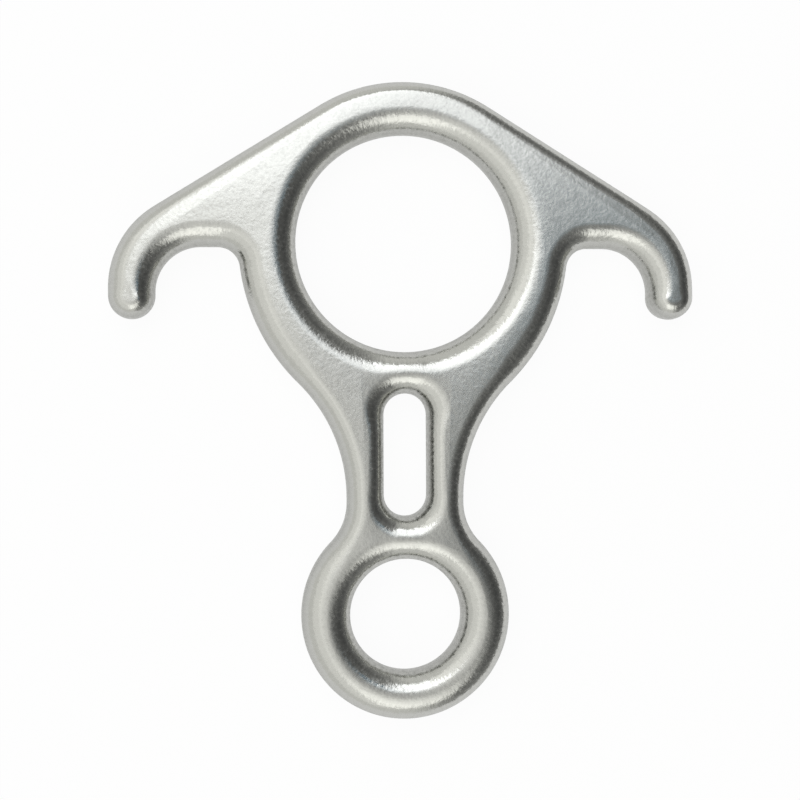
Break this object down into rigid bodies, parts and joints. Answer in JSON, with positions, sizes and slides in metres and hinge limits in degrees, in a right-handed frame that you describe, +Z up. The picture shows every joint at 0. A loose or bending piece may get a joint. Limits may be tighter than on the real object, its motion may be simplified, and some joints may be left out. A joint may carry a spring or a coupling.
{
  "type": "figure eight descender",
  "caption": "Flat steel rescue descender: large rope ring with hooked ears, slotted waisted neck and small carabiner eye, with rounded edges all round.",
  "frame": {"origin": "middle of the base of the bounding box: on the back face, halfway along and across the descender", "axes": "+Y along the descender from the small eye to the large ring, +X across it towards the right-hand ear, +Z up out of the front face"},
  "size_m": [0.1542, 0.1674, 0.013],
  "materials": {
    "steel": "bare forged steel, tumbled to a satin shine, with a fine grain on the flat faces and smoother rounded edges"
  },
  "bodies": {
    "root": {"descender_body": "steel"}
  },
  "joints": []
}
